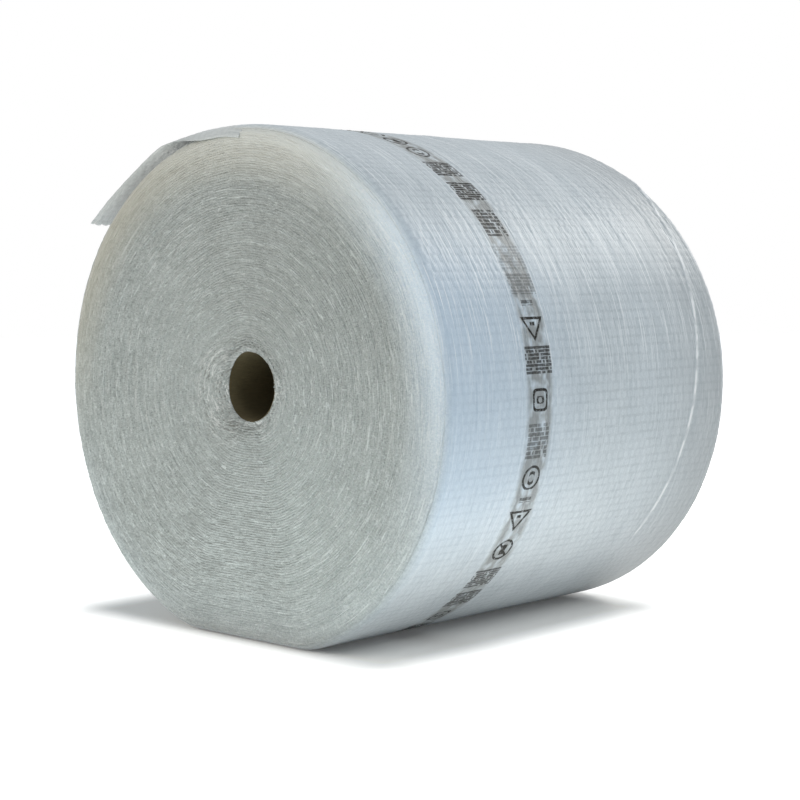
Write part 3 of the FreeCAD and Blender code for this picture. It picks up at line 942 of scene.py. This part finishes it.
# Darker than bare board: the board's own brown with painted shade of the bore.
BOARD_TONES_WITH_BORE_SHADE = (0.055, 0.042, 0.016, 1), (0.19, 0.15, 0.075, 1)


def cardboard_material():
    """Plain brown board with fibres and clouded tone, painted darker than bare board as the shade inside the
    bore.
    """
    material = bpy.data.materials.new("cardboard")
    graph = Graph(material)
    place = graph.node("ShaderNodeTexCoord").outputs["Object"]
    fibre = graph.noise(place, (500, 120, 500), 3.0, 0.6)
    cloud = graph.noise(place, (30, 18, 30), 3.0)
    tone = graph.total((fibre, 0.6), (cloud, 0.5))
    body = graph.fed("ShaderNodeBsdfPrincipled", {
        "Base Color": graph.mix(tone, *BOARD_TONES_WITH_BORE_SHADE), "Roughness": graph.blend(cloud, 0.78, 0.92),
        "Normal": graph.bump(fibre, 0.6, 0.0006)})
    graph.finish("ShaderNodeOutputMaterial", body.outputs[0])
    return material


def seen_directly(graph):
    """1 where the camera, a mirror or clear glass looks straight at the surface."""
    path = graph.node("ShaderNodeLightPath").outputs
    return graph.most(path["Is Camera Ray"], path["Is Glossy Ray"], path["Is Transmission Ray"])


# The floor's glow is held back in a rectangle round the roll, where the roll's shadow shows, and that
# rectangle paints the shadow's reach and sharp edge: its middle and half size as x and y, and the distance
# past it over which the floor's own glow rises, in metres.
SHADE_MIDDLE, SHADE_HALF = (-0.035, -0.0125), (0.22, 0.2025)
SHADE_FADE = 0.09
FLOOR_COLOUR, FLOOR_REACH, FLOOR_SPOKES, FLOOR_LEVEL = (0.94, 0.91, 0.87, 1), 9000.0, 64, -0.2
SKY_COLOUR, SKY_STRENGTH = (0.76, 0.89, 1.0, 1), 0.36


def build_floor():
    """A pale floor that keeps the shadow, with painted shadow where its glow is held back round the roll."""
    material = bpy.data.materials.new("pale_floor")
    graph = Graph(material)
    place = graph.split(graph.node("ShaderNodeNewGeometry").outputs["Position"])
    beyond = [graph.math("MAXIMUM", graph.less(graph.size(graph.less(value, middle)), half), 0.0)
              for value, middle, half in zip(place, SHADE_MIDDLE, SHADE_HALF)]
    brighten = graph.ramp(graph.length(*beyond), 0.0, SHADE_FADE, 0.05, 0.9)
    diffuse = graph.fed("ShaderNodeBsdfDiffuse", {0: FLOOR_COLOUR})
    glow = graph.fed("ShaderNodeEmission", {"Strength": graph.times(seen_directly(graph), brighten)})
    both = graph.fed("ShaderNodeAddShader", {0: diffuse.outputs[0], 1: glow.outputs[0]})
    graph.finish("ShaderNodeOutputMaterial", both.outputs[0])
    turn = np.arange(FLOOR_SPOKES) * 2 * math.pi / FLOOR_SPOKES
    points = np.stack([FLOOR_REACH * np.cos(turn), FLOOR_REACH * np.sin(turn), 0 * turn + FLOOR_LEVEL], -1)
    add_mesh("floor", points, [list(range(FLOOR_SPOKES))], material)


def build_world():
    """Soft bluish light, seen as a white backdrop."""
    world = bpy.data.worlds.new("studio")
    bpy.context.scene.world = world
    graph = Graph(world)
    soft = graph.fed("ShaderNodeBackground", {0: SKY_COLOUR, 1: SKY_STRENGTH})
    white = graph.fed("ShaderNodeBackground", {0: (1, 1, 1, 1), 1: 1.0})
    graph.finish("ShaderNodeOutputWorld",
                 graph.mix_shader(seen_directly(graph), soft.outputs[0], white.outputs[0]))


# Softboxes that face the roll, and strips that lie on the floor and face up: name, place,
# width, height, power and colour, in metres and watts.
SOFTBOXES = [
    ("back_softbox", (0.9, 2.3, 2.1), 1.4, 0.7, 20, (1.0, 0.98, 0.94)),
    ("front_softbox", (-1.5, -3.1, 1.6), 1.8, 1.8, 39, (1.0, 0.965, 0.89)),
    ("right_softbox", (2.4, -0.6, 2.15), 1.2, 1.2, 24, (0.95, 0.98, 1.0)),
]
FLOOR_STRIPS = [
    ("glow_right", (0.41, -0.10, 0.01), 0.16, 0.5, 0.37, (0.95, 1.0, 1.0)),
    ("glow_front", (0.0, -0.48, 0.01), 0.8, 0.36, 0.95, (0.84, 0.98, 1.0)),
]
AIM = (0.0, 0.0, 0.3)


def add_lamp(name, place, width, height, power, colour, away, level):
    """A soft rectangular lamp that shines against the direction away."""
    lamp = bpy.data.lights.new(name, "AREA")
    lamp.shape = "RECTANGLE"
    lamp.size, lamp.size_y = width, height
    lamp.energy = power
    lamp.color = colour
    holder = bpy.data.objects.new(name, lamp)
    bpy.context.scene.collection.objects.link(holder)
    away = away / np.linalg.norm(away)
    right = np.cross(level, away)
    right /= np.linalg.norm(right)
    turn = Matrix(np.stack([right, np.cross(away, right), away], 1).tolist()).to_4x4()
    holder.matrix_world = Matrix.Translation(place) @ turn
    return holder


def add_lamps():
    for lamp in SOFTBOXES:
        add_lamp(*lamp, np.array(lamp[1]) - np.array(AIM), (0, 0, 1))
    for lamp in FLOOR_STRIPS:
        add_lamp(*lamp, np.array((0, 0, -1)), (0, 1, 0)).visible_camera = False


# The photograph's camera: an 81 mm lens on a 36 mm sensor, from the front right.
CAMERA_PLACE = (1.4777, -1.5543, 0.4093)
CAMERA_YAW, CAMERA_PITCH, CAMERA_ROLL = -43.383, 4.183, -0.338
FOCAL_PIXELS, PHOTO_PIXELS, SENSOR = 1804.1, 800, 36.0


def add_camera():
    yaw, pitch, roll = (math.radians(angle) for angle in (CAMERA_YAW, CAMERA_PITCH, CAMERA_ROLL))
    forward = np.array((math.sin(yaw) * math.cos(pitch), math.cos(yaw) * math.cos(pitch), -math.sin(pitch)))
    level = np.array((math.cos(yaw), -math.sin(yaw), 0.0))
    above = np.cross(level, forward)
    right = math.cos(roll) * level + math.sin(roll) * above
    up = -math.sin(roll) * level + math.cos(roll) * above
    data = bpy.data.cameras.new("camera")
    data.sensor_width = SENSOR
    data.lens = FOCAL_PIXELS / PHOTO_PIXELS * SENSOR
    data.clip_start, data.clip_end = 0.05, 60
    camera = bpy.data.objects.new("camera", data)
    bpy.context.scene.collection.objects.link(camera)
    turn = Matrix(np.stack([right, up, -forward], 1).tolist()).to_4x4()
    camera.matrix_world = Matrix.Translation(CAMERA_PLACE) @ turn
    bpy.context.scene.camera = camera


add_camera()
film = film_material("bubble_film", False)
loose_film = film_material("loose_bubble_film", True)
build_sides(film)
build_end("near_end_turns", -1, 21, film)
build_end("far_end_turns", 1, 61, film)
build_loose_end(loose_film)
build_core(cardboard_material())
build_floor()
build_world()
add_lamps()
bpy.context.scene.view_settings.view_transform = "Standard"
